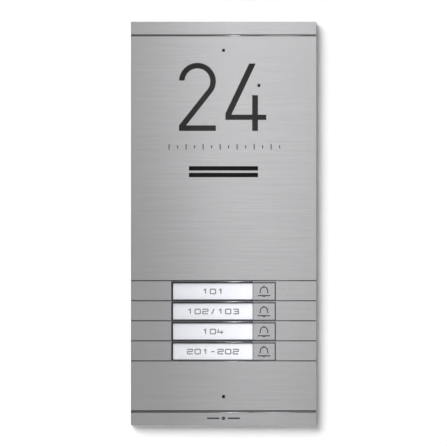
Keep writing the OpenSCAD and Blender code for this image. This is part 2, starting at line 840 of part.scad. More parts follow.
// Sheet frame that the plate hangs on, with a lip at the bottom for the lock screws
module mounting_frame() {
    color("lightgray") difference() {
        union() {
            difference() {
                slab(0, 0, frame_w, frame_h, -frame_t, 0);
                slab(0, -5, 140, 326, -frame_t - cut, cut);
            }
            for (s = [-1, 1]) slab(s * (frame_screw_x + 1), -frame_screw_z + 1.5, 14, 12, -frame_t, 0);
            slab(0, -frame_h / 2 + frame_t / 2, 2 * lip_x, frame_t, -6.2, 0);
        }
        for (x = [-hook_x, hook_x]) slab(x, hook_z + 4, 14, 8, -frame_t - cut, cut);
        for (x = [-frame_screw_x, frame_screw_x], z = [-frame_screw_z, frame_screw_z])
            rod(x, z, 2.2, -frame_t - cut, cut);
        for (x = [-lock_x, lock_x]) translate([x, lock_y, -frame_h / 2 - cut])
            cylinder(r = lock_r + 0.05, h = frame_t + 2 * cut);
    }
}

// Pan-head screws that hold the mounting frame to the flush box
module frame_screws() {
    color("gainsboro") for (x = [-frame_screw_x, frame_screw_x], z = [-frame_screw_z, frame_screw_z])
        difference() {
            union() {
                rod(x, z, 3.8, -frame_t - 2.2, -frame_t);
                rod(x, z, 1.95, -frame_t - cut, 7);
            }
            slab(x, z, 4.4, 0.9, -frame_t - 2.2 - cut, -frame_t - 1.1);
            slab(x, z, 0.9, 4.4, -frame_t - 2.2 - cut, -frame_t - 1.1);
        }
}

// A scored ring that marks a knock-out; it lies in the XY plane
module score_ring() {
    difference() {
        cylinder(r = knockout_r + 0.8, h = 0.6, center = true);
        cylinder(r = knockout_r, h = 2, center = true);
    }
}

// A straight bead along Z, sunk into the box's rear wall; grow thickens it all round
module bead(x, grow) {
    r = groove_r(bead_w, bead_d);
    translate([x, box_d + r - bead_d, -bead_end - grow])
        cylinder(r = r + grow, h = 2 * (bead_end + grow), $fn = 96);
}

// Sheet-metal box for the wall recess, open at the front
module flush_box() {
    lug_w = 17;
    lug_h = 17;
    color("lightsteelblue") difference() {
        union() {
            difference() {
                slab(0, 0, box_w, box_h, 0, box_d);
                difference() {
                    slab(0, 0, box_w - 2 * box_t, box_h - 2 * box_t, -cut, box_d - box_t);
                    for (x = [-bead_x, bead_x]) bead(x, box_t);
                }
            }
            for (sx = [-1, 1], sz = [-1, 1])
                slab(sx * (box_w / 2 - lug_w / 2), sz * (box_h / 2 - lug_h / 2), lug_w, lug_h, 0, box_t);
        }
        for (x = [-bead_x, bead_x]) bead(x, 0);
        for (x = [-frame_screw_x, frame_screw_x], z = [-frame_screw_z, frame_screw_z])
            rod(x, z, 2, -cut, box_t + cut);
        for (x = [-0.5, 0.5] * wall_screw_x, z = [-0.5, 0.5] * wall_screw_z)
            rod(x, z, 2.5, box_d - box_t - cut, box_d + cut);
        translate([0, grommet_y, box_h / 2 - box_t - cut]) cylinder(r = grommet_hole_r, h = box_t + 2 * cut);
        for (x = knockouts_x, s = [-1, 1]) translate([x, grommet_y, s * box_h / 2]) score_ring();
        for (z = knockouts_z, s = [-1, 1])
            translate([s * box_w / 2, grommet_y, z]) rotate([0, 90, 0]) score_ring();
        for (z = knockouts_rear) translate([0, box_d, z]) rotate([90, 0, 0]) score_ring();
    }
}

// Rubber grommet in the top of the flush box
module cable_grommet() {
    wall_z = box_h / 2 - box_t;
    neck_r = grommet_hole_r - 0.05;
    color("#1b1b1b") translate([0, grommet_y, wall_z]) rotate_extrude($fn = 96)
        polygon([[cable_d / 2, -2], [grommet_flange_r, -2], [grommet_flange_r, 0], [neck_r, 0],
            [neck_r, box_t], [grommet_flange_r - 1, box_t], [grommet_flange_r - 2, box_t + 2],
            [cable_d / 2, box_t + 2]]);
}

front_plate();
plate_hooks();
weld_studs();
stud_nuts();
lock_screws();
sealing_gasket();
number_insert();
number_light_box();
number_light_board();
status_light_pipe();
light_sensor();
leds();
speaker_mesh();
speaker_gasket();
speaker_basket();
speaker_cone();
speaker_magnet();
speaker_bracket();
mic_boot();
mic_capsule();
call_bezel();
call_housing();
call_board();
tact_switches();
light_guides();
for (i = [1:4]) {
    label_lens(i);
    label_card(i);
    key_cap(i);
    key_stem(i);
    key_spring(i);
}
main_board();
board_standoffs();
board_components();
terminal_block();
terminal_screws();
trimmer_housings();
trimmer_rotor(trimmer_xs[0]);  // speaker_trimmer
trimmer_rotor(trimmer_xs[1]);  // mic_trimmer
speaker_lead();
mic_lead();
call_ribbon();
mounting_frame();
frame_screws();
flush_box();
cable_grommet();
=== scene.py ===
"""Looks of a flush-mounted door intercom panel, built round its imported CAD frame.

Metres, Z up, front towards -Y. New pieces are built in millimetres and scaled as they are made.
"""
import json
import math

import bmesh
import bpy
from mathutils import Matrix, Vector, noise


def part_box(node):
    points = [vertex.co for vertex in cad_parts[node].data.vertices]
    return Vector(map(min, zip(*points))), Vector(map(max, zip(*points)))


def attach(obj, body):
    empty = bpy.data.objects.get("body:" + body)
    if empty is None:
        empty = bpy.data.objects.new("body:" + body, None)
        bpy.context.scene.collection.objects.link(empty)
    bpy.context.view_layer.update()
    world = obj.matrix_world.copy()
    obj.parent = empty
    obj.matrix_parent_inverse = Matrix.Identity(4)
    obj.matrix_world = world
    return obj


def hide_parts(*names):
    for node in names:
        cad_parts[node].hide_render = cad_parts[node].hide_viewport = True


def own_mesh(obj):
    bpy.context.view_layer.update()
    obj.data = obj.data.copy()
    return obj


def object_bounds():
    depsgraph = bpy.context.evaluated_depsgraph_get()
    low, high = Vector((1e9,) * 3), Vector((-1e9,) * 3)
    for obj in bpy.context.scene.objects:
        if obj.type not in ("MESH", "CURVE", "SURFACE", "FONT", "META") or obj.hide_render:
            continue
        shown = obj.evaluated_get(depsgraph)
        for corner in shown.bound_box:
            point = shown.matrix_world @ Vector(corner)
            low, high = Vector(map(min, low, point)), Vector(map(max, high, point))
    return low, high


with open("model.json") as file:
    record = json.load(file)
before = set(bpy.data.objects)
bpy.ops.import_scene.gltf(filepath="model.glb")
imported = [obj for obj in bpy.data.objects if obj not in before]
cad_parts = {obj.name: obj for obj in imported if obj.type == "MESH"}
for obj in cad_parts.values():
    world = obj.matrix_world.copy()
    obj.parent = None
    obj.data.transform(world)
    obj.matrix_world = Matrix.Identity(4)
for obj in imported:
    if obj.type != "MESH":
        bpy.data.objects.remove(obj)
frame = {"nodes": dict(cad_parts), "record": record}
cad_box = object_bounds()
lo, hi = cad_box
nodes = frame["nodes"]
record = frame["record"]
MM = 0.001
ROWS = (1, 2, 3, 4)
SLOT_OF = {part["node"]: part["material_slot"] for part in record["subparts"]}

# ---------------------------------------------------------------- node helpers


def set_range(node, start, end, low, high):
    """Sets a Map Range node to map start..end to low..high."""
    for socket, number in (("From Min", start), ("From Max", end), ("To Min", low), ("To Max", high)):
        node.inputs[socket].default_value = number


class Shader:
    """Builds one material's nodes; positions are in millimetres, in the frame of the whole object."""

    def __init__(self, name, color, metallic=0.0, roughness=0.5, **extra):
        self.material = bpy.data.materials.new(name)
        self.material.use_nodes = True
        self.tree = self.material.node_tree
        self.bsdf = self.tree.nodes["Principled BSDF"]
        self.color = (*color[:3], 1.0)
        self.bsdf.inputs["Base Color"].default_value = self.color
        self.bsdf.inputs["Metallic"].default_value = metallic
        self.bsdf.inputs["Roughness"].default_value = roughness
        for socket, value in extra.items():
            self.bsdf.inputs[socket.replace("_", " ")].default_value = value
        self.roughness = roughness
        self.height = None
        place = self.node("ShaderNodeTexCoord")
        to_mm = self.node("ShaderNodeVectorMath", operation="SCALE")
        to_mm.inputs["Scale"].default_value = 1 / MM
        self.link(place.outputs["Object"], to_mm.inputs[0])
        self.place = to_mm.outputs[0]

    def node(self, kind, **settings):
        """A new node with these settings."""
        made = self.tree.nodes.new(kind)
        for key, value in settings.items():
            setattr(made, key, value)
        return made

    def link(self, out, into):
        self.tree.links.new(out, into)

    def scaled(self, per_mm):
        """The position times one factor, or times one factor for each axis."""
        scale = self.node("ShaderNodeVectorMath", operation="MULTIPLY")
        scale.inputs[1].default_value = per_mm if isinstance(per_mm, tuple) else (per_mm,) * 3
        self.link(self.place, scale.inputs[0])
        return scale.outputs[0]

    def axis(self, name):
        """The position's X, Y or Z."""
        split = self.node("ShaderNodeSeparateXYZ")
        self.link(self.place, split.inputs[0])
        return split.outputs[name]

    def bands(self, axis, scale, distortion=0.0):
        """Soft stripes from 0 to 1 that follow each other along the axis, 0.314 / scale mm apart."""
        wave = self.node("ShaderNodeTexWave", wave_type="BANDS", bands_direction=axis, wave_profile="SIN")
        wave.inputs["Scale"].default_value = scale
        wave.inputs["Distortion"].default_value = distortion
        self.link(self.place, wave.inputs["Vector"])
        return wave.outputs["Fac"]

    def grain(self, per_mm, detail=3.0, rough=0.55, distortion=0.0):
        """Noise from 0 to 1 whose features are about 1 / per_mm long; per_mm may differ along each axis."""
        tex = self.node("ShaderNodeTexNoise")
        tex.inputs["Scale"].default_value = 1.0
        tex.inputs["Detail"].default_value = detail
        tex.inputs["Roughness"].default_value = rough
        tex.inputs["Distortion"].default_value = distortion
        self.link(self.scaled(per_mm), tex.inputs["Vector"])
        return tex.outputs["Fac"]

    def cells(self, per_mm):
        """Cells about 1 / per_mm across."""
        tex = self.node("ShaderNodeTexVoronoi", feature="F1")
        tex.inputs["Scale"].default_value = 1.0
        self.link(self.scaled(per_mm), tex.inputs["Vector"])
        return tex

    def ranged(self, value, low, high, start=0.0, end=1.0):
        """The value's stretch start..end mapped to low..high."""
        node = self.node("ShaderNodeMapRange")
        set_range(node, start, end, low, high)
        self.link(value, node.inputs["Value"])
        return node.outputs["Result"]

    def math(self, operation, a, b):
        """One operation on two values, each a number or another node's output."""
        node = self.node("ShaderNodeMath", operation=operation)
        for socket, value in zip(node.inputs, (a, b)):
            if isinstance(value, (int, float)):
                socket.default_value = value
            else:
                self.link(value, socket)
        return node.outputs[0]

    def tint(self, factor, other, amount=1.0):
        """Blends the base colour towards another by factor times amount."""
        mix = self.node("ShaderNodeMix", data_type="RGBA")
        socket = self.bsdf.inputs["Base Color"]
        if socket.is_linked:
            self.link(socket.links[0].from_socket, mix.inputs["A"])
        else:
            mix.inputs["A"].default_value = self.color
        mix.inputs["B"].default_value = (*other[:3], 1.0)
        self.link(self.math("MULTIPLY", factor, amount), mix.inputs["Factor"])
        self.link(mix.outputs["Result"], socket)
        return self

    def rough(self, factor, spread):
        """Varies the roughness by plus or minus spread."""
        low, high = self.roughness - spread, self.roughness + spread
        self.link(self.ranged(factor, low, high), self.bsdf.inputs["Roughness"])
        return self

    def bump(self, factor, depth_mm):
        """Adds relief of that depth; a second call adds to the first."""
        height = self.math("MULTIPLY", factor, depth_mm * MM)
        self.height = height if self.height is None else self.math("ADD", self.height, height)
        for old in [n for n in self.tree.nodes if n.bl_idname == "ShaderNodeBump"]:
            self.tree.nodes.remove(old)
        node = self.node("ShaderNodeBump")
        node.inputs["Strength"].default_value = 1.0
        node.inputs["Distance"].default_value = 1.0
        self.link(self.height, node.inputs["Height"])
        self.link(node.outputs["Normal"], self.bsdf.inputs["Normal"])
        return self

    def worn_edges(self, color, amount):
        """Brightens the edges, where the rounded normal turns away from the flat one."""
        bevel = self.node("ShaderNodeBevel", samples=4)
        bevel.inputs["Radius"].default_value = WORN_RADIUS * MM
        geometry = self.node("ShaderNodeNewGeometry")
        dot = self.node("ShaderNodeVectorMath", operation="DOT_PRODUCT")
        self.link(bevel.outputs["Normal"], dot.inputs[0])
        self.link(geometry.outputs["Normal"], dot.inputs[1])
        edge = self.ranged(dot.outputs["Value"], 1.0, 0.0, 0.82, 0.99)
        patchy = self.math("MULTIPLY", edge, self.grain(0.4, 4.0))
        return self.tint(patchy, color, amount)

    def brushed_along_x(self):
        """Stretches highlights at right angles to the brushing, which runs along X."""
        tangent = self.node("ShaderNodeTangent", direction_type="RADIAL", axis="X")
        self.link(tangent.outputs["Tangent"], self.bsdf.inputs["Tangent"])
        return self


# ---------------------------------------------------------------- materials

# Depths behind the plate's face, in millimetres, where a groove's painted shade and smoothness begin, are
# complete and end
GROOVE_START, GROOVE_FULL, GROOVE_END = 0.03, 0.35, 2.4
# Painted shade in a groove: shares of the steel's brightness kept on its faces that look down, and on those
# that look up
GROOVE_DOWN_SHADE, GROOVE_SHADE = 0.10, 0.5
GROOVE_ROUGHNESS = 0.1
WORN_RADIUS = 0.6
# The bands' scale that lays a board's tracks 1.2 mm apart
TRACK_SCALE = 0.26
# The label cards' painted glow at these two places across the plate, in millimetres from its middle
CARD_DIM_X, CARD_BRIGHT_X = -46.0, 27.0
CARD_DIM, CARD_BRIGHT = 0.04, 0.42


def brushed_steel(name, color, roughness, streak=1.0):
    """Horizontal brushing; a groove is smoother and carries painted shade, darkest on its faces that look
    down.
    """
    s = Shader(name, color, 1.0, roughness, Anisotropic=0.75).brushed_along_x()
    fine = s.grain((0.035, 4.0, 4.0), 5.0, 0.7)
    broad = s.grain((0.012, 0.9, 0.9), 3.0, 0.6)
    cloud = s.grain(0.02, 2.0)
    s.tint(s.ranged(fine, 0.0, 1.0, 0.35, 0.7), [c * 0.80 for c in color], 0.55 * streak)
    s.tint(s.ranged(broad, 0.0, 1.0, 0.4, 0.65), [min(1.0, c * 1.10) for c in color], 0.35 * streak)
    s.rough(s.math("ADD", s.math("MULTIPLY", fine, 0.5), s.math("MULTIPLY", cloud, 0.5)), 0.03)
    depth = s.axis("Y")
    face = lo.y / MM
    below_face = s.ranged(depth, 0.0, 1.0, face + GROOVE_START, face + GROOVE_FULL)
    above_rear = s.ranged(depth, 1.0, 0.0, face + GROOVE_END, face + GROOVE_END + 0.1)
    deep = s.math("MULTIPLY", below_face, above_rear)
    facing = s.node("ShaderNodeNewGeometry")
    up = s.node("ShaderNodeSeparateXYZ")
    s.link(facing.outputs["True Normal"], up.inputs[0])
    # Painted shade: the groove is darkened with depth, and its faces that look down are darker still
    s.tint(deep, [c * GROOVE_SHADE for c in color])
    under = s.ranged(up.outputs["Z"], 1.0, 0.0, -0.3, 0.6)
    s.tint(s.math("MULTIPLY", deep, under), [c * GROOVE_DOWN_SHADE for c in color])
    smoother = s.node("ShaderNodeMix", data_type="FLOAT")
    s.link(s.bsdf.inputs["Roughness"].links[0].from_socket, smoother.inputs["A"])
    smoother.inputs["B"].default_value = GROOVE_ROUGHNESS
    s.link(deep, smoother.inputs["Factor"])
    s.link(smoother.outputs["Result"], s.bsdf.inputs["Roughness"])
    return s.bump(fine, 0.006 * streak).material


def plated_steel(name, color, roughness=0.32):
    """Smooth plated or drawn metal with a faintly clouded surface."""
    s = Shader(name, color, 1.0, roughness)
    cloud = s.grain(0.15, 4.0)
    s.tint(s.ranged(cloud, 0.0, 1.0, 0.4, 0.7), [c * 0.8 for c in color], 0.6)
    s.rough(cloud, 0.1)
    return s.bump(s.grain(6, 2.0), 0.003).material


def galvanised(name, color):
    """Zinc-coated sheet: crystals of differing tone and gloss, and paler patches of zinc dust."""
    s = Shader(name, color, 1.0, 0.42)
    spangle = s.cells(0.15)
    tone = s.node("ShaderNodeSeparateColor")
    s.link(spangle.outputs["Color"], tone.inputs["Color"])
    s.tint(tone.outputs["Red"], [c * 0.7 for c in color], 0.6)
    s.tint(s.ranged(s.grain(0.03, 3.0), 0.0, 1.0, 0.5, 0.75), (0.72, 0.73, 0.74), 0.5)
    s.rough(tone.outputs["Green"], 0.13)
    s.bump(tone.outputs["Blue"], 0.012)
    return s.bump(s.grain(2.5, 4.0), 0.008).material


def moulded(name, color, roughness=0.5, texture=0.012, worn=0.35, **extra):
    """Moulded plastic with a fine spark-eroded texture, and edges rubbed paler."""
    s = Shader(name, color, 0.0, roughness, **extra)
    speck = s.grain(5, 3.0)
    cloud = s.grain(0.06, 3.0)
    s.tint(s.ranged(cloud, 0.0, 1.0, 0.4, 0.75), [min(1.0, c * 1.25 + 0.01) for c in color], 0.5)
    s.rough(cloud, min(0.08, roughness * 0.5))
    s.bump(speck, texture)
    return s.worn_edges([min(1.0, c * 1.5 + 0.05) for c in color], worn).material


def polished(name, color, roughness):
    """Glossy dark acrylic with faint smears."""
    s = Shader(name, color, 0.0, roughness, IOR=1.36)
    smear = s.grain((0.05, 0.05, 0.09), 4.0, 0.6, 0.6)
    s.rough(smear, roughness * 0.7)
    s.tint(s.ranged(smear, 0.0, 1.0, 0.45, 0.8), [c * 1.5 + 0.004 for c in color], 0.4)
    return s.bump(s.grain(0.12, 2.0), 0.004).material


def foam(name, color):
    """Open foam: pores darkened with painted shade, between paler walls."""
    s = Shader(name, color, 0.0, 0.85)
    pores = s.cells(2.2)
    # Painted shade in the pores
    s.tint(s.ranged(pores.outputs["Distance"], 1.0, 0.0, 0.0, 0.35), [c * 0.35 for c in color], 0.8)
    return s.bump(pores.outputs["Distance"], 0.25).material


def rubber(name, color):
    """Matt rubber with patches of dust."""
    s = Shader(name, color, 0.0, 0.6)
    dust = s.grain(0.25, 4.0)
    s.tint(s.ranged(dust, 0.0, 1.0, 0.5, 0.8), [c * 1.8 + 0.02 for c in color], 0.4)
    s.rough(dust, 0.12)
    return s.bump(s.grain(3, 3.0), 0.02).material


def paper(name, color):
    """Pressed pulp with long fibres."""
    s = Shader(name, color, 0.0, 0.7)
    fibre = s.grain((0.8, 2.5, 2.5), 5.0, 0.7, 1.0)
    s.tint(s.ranged(fibre, 0.0, 1.0, 0.4, 0.7), [c * 0.9 for c in color], 0.6)
    return s.bump(fibre, 0.02).material


def circuit_board(name, color):
    """Lacquered board: patches of tracks that run up, patches that run across, and a ground plane between."""
    s = Shader(name, color, 0.0, 0.35, Coat_Weight=0.4)
    patch = s.cells(0.07)
    choice = s.node("ShaderNodeSeparateColor")
    s.link(patch.outputs["Color"], choice.inputs["Color"])
    tracks = None
    for axis, channel in (("X", "Red"), ("Z", "Green")):
        lines = s.ranged(s.bands(axis, TRACK_SCALE), 0.0, 1.0, 0.55, 0.65)
        here = s.ranged(choice.outputs[channel], 0.0, 1.0, 0.55, 0.56)
        laid = s.math("MULTIPLY", lines, here)
        tracks = laid if tracks is None else s.math("MAXIMUM", tracks, laid)
    plane = s.ranged(choice.outputs["Blue"], 0.0, 0.6, 0.62, 0.63)
    copper = s.math("MAXIMUM", tracks, plane)
    s.tint(copper, [c * 1.9 + 0.012 for c in color], 0.8)
    s.tint(s.ranged(s.grain(0.03), 0.0, 1.0, 0.45, 0.7), [c * 0.7 for c in color], 0.4)
    s.bump(copper, 0.03)
    return s.bump(s.grain(2.0, 2.0), 0.006).material


def glow_painted_card(name, color):
    """White film with a painted glow in place of the lamps behind it, brighter towards its right end."""
    s = Shader(name, color, 0.0, 0.6)
    fibre = s.grain(1.2, 4.0, 0.7)
    s.tint(s.ranged(fibre, 0.0, 1.0, 0.4, 0.75), [c * 0.93 for c in color], 0.6)
    s.bump(fibre, 0.01)
    # Painted light: the card glows by itself, stronger towards its right end
    glow = s.ranged(s.axis("X"), CARD_DIM, CARD_BRIGHT, CARD_DIM_X, CARD_BRIGHT_X)
    s.link(glow, s.bsdf.inputs["Emission Strength"])
    s.bsdf.inputs["Emission Color"].default_value = (0.93, 0.93, 1.0, 1.0)
    return s.material


def clear(name, color, alpha):
    """Clear plastic: mostly see-through, with a glossy smeared surface."""
    s = Shader(name, color, 0.0, 0.04, IOR=1.49, Alpha=alpha)
    smear = s.grain((0.06, 0.06, 0.15), 4.0, 0.6, 0.5)
    s.rough(smear, 0.03)
    return s.bump(s.grain(0.2, 2.0), 0.002).material


def ink(name, color):
    """Printed or filled-in paint."""
    s = Shader(name, color, 0.0, 0.45)
    s.tint(s.grain(1.5, 3.0), [c * 1.6 + 0.01 for c in color], 0.6)
    return s.bump(s.grain(6, 2.0), 0.006).material


def cloth(name, color):
    """Plain woven cloth, its threads along X and Z."""
    s = Shader(name, color, 0.0, 0.95, Sheen_Weight=0.15)
    threads = s.math("MULTIPLY", s.bands("X", 0.9, 0.4), s.bands("Z", 0.9, 0.4))
    s.tint(threads, [c * 1.8 for c in color], 0.7)
    return s.bump(threads, 0.04).material


def ribbed_cable(name, color):
    """Flat ribbon: a rib for each core, with painted shade in the grooves between them."""
    s = Shader(name, color, 0.0, 0.4)
    ribs = s.bands("X", 0.25)
    # Painted shade in the grooves between the ribs
    s.tint(s.ranged(ribs, 1.0, 0.0, 0.0, 0.3), [c * 0.6 for c in color], 0.8)
    return s.bump(ribs, 0.2).material


BASE = {m["slot"]: m["base_color"] for m in record["materials"]}
LOOKS = {
    "brushed_steel": lambda n, c: brushed_steel(n, c, 0.25),
    "bezel_metal": lambda n, c: brushed_steel(n, [v * 0.8 for v in c], 0.3, 0.4),
    "zinc_steel": plated_steel,
    "galvanised_steel": galvanised,
    "spring_steel": lambda n, c: plated_steel(n, c, 0.2),
    "brass": lambda n, c: plated_steel(n, c, 0.25),
    "black_oxide_steel": lambda n, c: plated_steel(n, c, 0.45),
    "black_mesh": lambda n, c: moulded(n, c, 0.45, 0.004, 0.1),
    "foam_rubber": lambda n, c: foam(n, [v * 1.9 for v in c]),
    "black_rubber": rubber,
    "smoked_acrylic": lambda n, c: polished(n, [v * 0.2 for v in c], 0.08),
    "white_plastic": lambda n, c: moulded(n, c, 0.5),
    "circuit_board": circuit_board,
    "led_package": lambda n, c: moulded(n, c, 0.3, 0.002),
    "cone_paper": paper,
    "ferrite": lambda n, c: moulded(n, c, 0.55, 0.02),
    "black_plastic": lambda n, c: moulded(n, c, 0.5),
    "mic_can": lambda n, c: plated_steel(n, c, 0.3),
    "opal_plastic": lambda n, c: moulded(n, c, 0.35, 0.003, Subsurface_Weight=0.2),
    "clear_plastic": lambda n, c: clear(n, c, 0.14),
    "label_paper": lambda n, c: glow_painted_card(n, [v * 0.64 for v in c]),
    "component_plastic": lambda n, c: moulded(n, c, 0.4),
    "green_plastic": lambda n, c: moulded(n, c, 0.45),
    "blue_plastic": lambda n, c: moulded(n, c, 0.35),
    "red_lead": rubber,
    "grey_lead": rubber,
    "ribbon_cable": ribbed_cable,
}
LOOK = {slot: LOOKS[slot](slot, BASE[slot]) for slot in LOOKS}
LOOK["dark_ink"] = ink("dark_ink", (0.03, 0.03, 0.032))
LOOK["print_ink"] = ink("print_ink", (0.02, 0.02, 0.024))
LOOK["solder"] = plated_steel("solder", (0.72, 0.72, 0.74), 0.22)
LOOK["phosphor"] = moulded("phosphor", (0.82, 0.66, 0.12), 0.25, 0.003, 0.0, Subsurface_Weight=0.15)
LOOK["weld_metal"] = plated_steel("weld_metal", (0.42, 0.41, 0.40), 0.4)
LOOK["board_print"] = ink("board_print", (0.78, 0.78, 0.76))
LOOK["acoustic_cloth"] = cloth("acoustic_cloth", (0.008, 0.008, 0.009))


def paint(obj, look):
    """Gives an object one look all over."""
    obj.data.materials.clear()
    obj.data.materials.append(LOOK[look])


# ---------------------------------------------------------------- carried-over nodes


def soften(obj, width_mm):
    """Merges flat triangles into faces and rounds the sharp edges."""
    flat = obj.modifiers.new("flat", "DECIMATE")
    flat.decimate_type = "DISSOLVE"
    flat.angle_limit = math.radians(0.5)
    bevel = obj.modifiers.new("bevel", "BEVEL")
    bevel.width = width_mm * MM
    bevel.segments = 2
    bevel.limit_method = "ANGLE"
    bevel.angle_limit = math.radians(30)
    bevel.harden_normals = True
    bevel.use_clamp_overlap = True


# Width of each rounded edge, in millimetres
EDGE = {
    "front_plate": 0.25, "call_bezel": 0.2, "number_insert": 0.12, "mounting_frame": 0.2, "flush_box": 0.3,
    "cable_grommet": 0.2, "light_sensor": 0.1, "status_light_pipe": 0.1, "lock_screws": 0.1,
}
for i in ROWS:
    EDGE[f"key_cap_{i}"] = 0.22
for name, obj in nodes.items():
    paint(obj, SLOT_OF[name])
    if name in EDGE:
        soften(obj, EDGE[name])

# ---------------------------------------------------------------- new pieces


def piece(name, bm, look, body="root", replaces=()):
    """Turns a bmesh in millimetres into a piece that rides on a body."""
    bmesh.ops.recalc_face_normals(bm, faces=bm.faces)
    mesh = bpy.data.meshes.new(name)
    bm.to_mesh(mesh)
    bm.free()
    mesh.transform(Matrix.Scale(MM, 4))
    mesh.shade_smooth()
    mesh.set_sharp_from_angle(angle=math.radians(35))
    obj = bpy.data.objects.new(name, mesh)
    bpy.context.scene.collection.objects.link(obj)
    paint(obj, look)
    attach(obj, body)
    if replaces:
        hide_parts(*replaces)
    return obj


def box_mm(node):
    """A CAD node's lowest and highest corners, in millimetres."""
    low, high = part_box(node)
    return low / MM, high / MM


def thicken(bm, face_list, depth):
    """Gives flat faces a thickness along Y."""
    made = bmesh.ops.extrude_face_region(bm, geom=face_list)
    for v in [g for g in made["geom"] if isinstance(g, bmesh.types.BMVert)]:
        v.co.y += depth


def middle_of(low, high):
    """The middle of a box across the plate, as x and z."""
    return (low.x + high.x) / 2, (low.z + high.z) / 2


def join_rings(bm, a, b):
    """Faces between two closed rings with the same number of corners."""
    for k in range(len(a)):
        m = (k + 1) % len(a)
        bm.faces.new((a[k], a[m], b[m], b[k]))


def arc(cx, cz, r, start, end, steps):
    """Points on a circle, from one angle in degrees to another."""
    angles = [math.radians(start + (end - start) * k / steps) for k in range(steps + 1)]
    return [(cx + r * math.cos(a), cz + r * math.sin(a)) for a in angles]


def round_rect(cx, cz, w, h, r, steps=5):
    """A closed outline of (x, z) points with round corners."""
    x, z = w / 2 - r, h / 2 - r
    return (arc(cx + x, cz + z, r, 0, 90, steps) + arc(cx - x, cz + z, r, 90, 180, steps)
            + arc(cx - x, cz - z, r, 180, 270, steps) + arc(cx + x, cz - z, r, 270, 360, steps))


def rounded_path(points, r, steps=5):
    """The open path with its inner corners rounded."""
    path = [points[0]]
    for before, corner, after in zip(points, points[1:], points[2:]):
        a, b, c = Vector(before), Vector(corner), Vector(after)
        start, end = b + (a - b).normalized() * r, b + (c - b).normalized() * r
        for k in range(steps + 1):
            t = k / steps
            path.append(tuple(start * (1 - t) ** 2 + b * 2 * t * (1 - t) + end * t * t))
    return path + [points[-1]]


SHARPEST_MITRE = 0.4
SAME_POINT = 0.001


def add_stroke(bm, path, width, y0, y1, closed=False):
    """A flat stroke of even width along a path of (x, z) points."""
    count = len(path)
    sides = []
    for k in range(count):
        before = Vector(path[k - 1] if k or closed else path[0])
        after = Vector(path[(k + 1) % count] if k < count - 1 or closed else path[-1])
        here = Vector(path[k])
        d1 = (here - before).normalized() if (here - before).length else (after - here).normalized()
        d2 = (after - here).normalized() if (after - here).length else d1
        across = Vector((-(d1.y + d2.y), d1.x + d2.x)).normalized()
        reach = width / 2 / max(SHARPEST_MITRE, across.dot(Vector((-d1.y, d1.x))))
        ends = (here + across * reach, here - across * reach)
        sides.append([bm.verts.new((p.x, y0, p.y)) for p in ends])
    faces = []
    for k in range(count if closed else count - 1):
        a, b = sides[k], sides[(k + 1) % count]
        faces.append(bm.faces.new((a[0], b[0], b[1], a[1])))
    thicken(bm, faces, y1 - y0)


def add_tube(bm, path, r, sides):
    """A round tube along a path of 3-D points, with rings turned as little as possible."""
    rings = []
    normal = None
    for k, point in enumerate(path):
        ahead = (Vector(path[min(k + 1, len(path) - 1)]) - Vector(path[max(k - 1, 0)])).normalized()
        if normal is None:
            normal = ahead.orthogonal().normalized()
        normal = (normal - ahead * normal.dot(ahead)).normalized()
        other = ahead.cross(normal)
        turn = [2 * math.pi * j / sides for j in range(sides)]
        rings.append([bm.verts.new(Vector(point) + (normal * math.cos(a) + other * math.sin(a)) * r)
                      for a in turn])
    for a, b in zip(rings, rings[1:]):
        join_rings(bm, a, b)
    bm.faces.new(rings[0][::-1])
    bm.faces.new(rings[-1])


def add_turned(bm, cx, cz, profile, steps):
    """A solid turned about a line along Y; profile holds (radius, y), and may end in a point."""
    turn = [2 * math.pi * k / steps for k in range(steps)]
    rings = [[bm.verts.new((cx + r * math.cos(a), y, cz + r * math.sin(a))) for a in turn]
             for r, y in profile if r]
    for a, b in zip(rings, rings[1:]):
        join_rings(bm, a, b)
    bm.faces.new(rings[0])
    if profile[-1][0]:
        bm.faces.new(rings[-1])
        return
    tip = bm.verts.new((cx, profile[-1][1], cz))
    for k in range(steps):
        bm.faces.new((rings[-1][k], rings[-1][(k + 1) % steps], tip))


def add_strip(bm, path, across, width, thick):
    """A bent flat strip along a path of 3-D points, its width along across."""
    rings = []
    for k, point in enumerate(path):
        ahead = (Vector(path[min(k + 1, len(path) - 1)]) - Vector(path[max(k - 1, 0)])).normalized()
        up = ahead.cross(across).normalized() * thick
        side = across * width / 2
        shifts = (-side, side, side + up, up - side)
        rings.append([bm.verts.new(Vector(point) + shift) for shift in shifts])
    for a, b in zip(rings, rings[1:]):
        join_rings(bm, a, b)
    bm.faces.new(rings[0])
    bm.faces.new(rings[-1])


def add_block(bm, low, high, bevel):
    """A block from corner to corner with rounded edges."""
    low, high = Vector(low), Vector(high)
    place = Matrix.Translation((low + high) / 2) @ Matrix.Diagonal((*(high - low), 1.0))
    made = bmesh.ops.create_cube(bm, size=1.0, matrix=place)
    edges = list({e for v in made["verts"] for e in v.link_edges})
    bmesh.ops.bevel(bm, geom=edges, offset=bevel, segments=2, affect="EDGES", profile=0.5)


def solids_of(node):
    """The separate solids of a node, as their lowest and highest corners in millimetres."""
    bm = bmesh.new()
    bm.from_mesh(nodes[node].data)
    bmesh.ops.remove_doubles(bm, verts=bm.verts, dist=SAME_POINT * MM)
    found = []
    seen = set()
    for first in bm.verts:
        if first in seen:
            continue
        seen.add(first)
        group = []
        queue = [first]
        while queue:
            v = queue.pop()
            group.append(v.co / MM)
            for other in [e.other_vert(v) for e in v.link_edges]:
                if other not in seen:
                    seen.add(other)
                    queue.append(other)
        found.append(tuple(Vector([pick(p[k] for p in group) for k in range(3)]) for pick in (min, max)))
    bm.free()
    return sorted(found, key=lambda box: tuple(box[0]))


